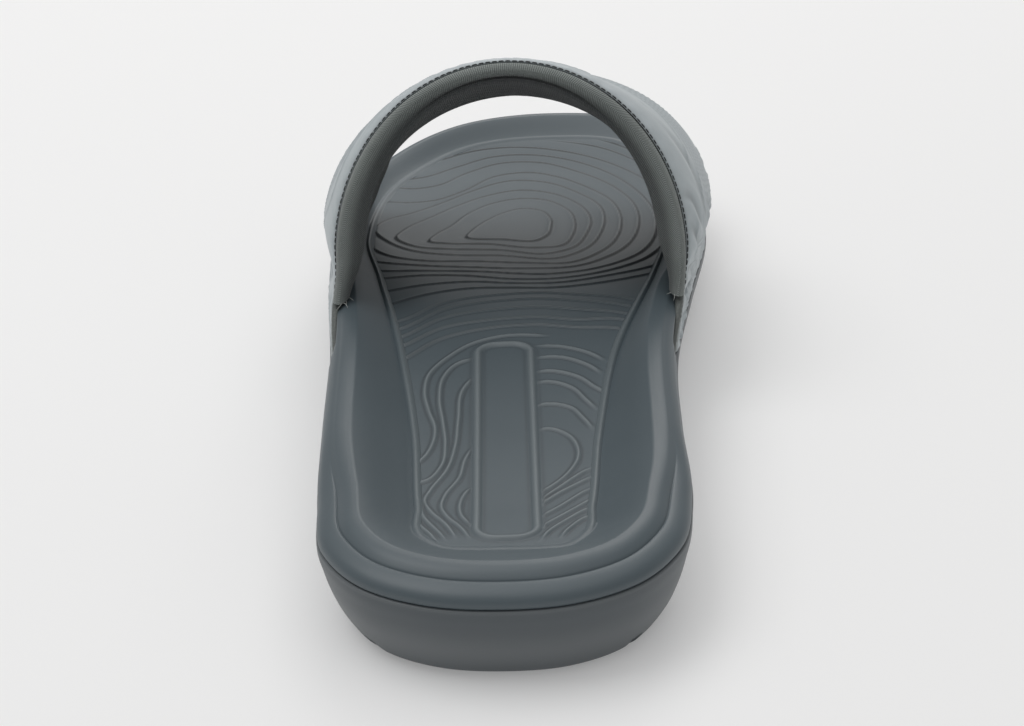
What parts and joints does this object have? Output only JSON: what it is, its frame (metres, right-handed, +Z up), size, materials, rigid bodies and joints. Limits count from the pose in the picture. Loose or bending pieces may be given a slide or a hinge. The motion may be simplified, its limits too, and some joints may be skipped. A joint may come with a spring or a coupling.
{
  "type": "sport slide sandal",
  "caption": "Left sport slide: moulded foam footbed on a foam outsole, open toe and heel, with a wide padded strap arched over the forefoot.",
  "frame": {"origin": "on the floor under the middle of the shoe's length and width", "axes": "+Y from the heel to the toe, +Z up, +X to the medial (big toe) side of this left shoe"},
  "size_m": [0.1085, 0.285, 0.0881],
  "materials": {
    "outsole": "matte moulded foam, dark blue-grey",
    "footbed": "matte moulded foam, dark blue-grey",
    "strap_shell": "soft satin synthetic leather, light grey",
    "strap_lining": "ribbed knit, mid grey"
  },
  "bodies": {
    "root": {"outsole": "outsole", "footbed": "footbed", "strap_shell": "strap_shell", "strap_lining": "strap_lining"}
  },
  "joints": []
}
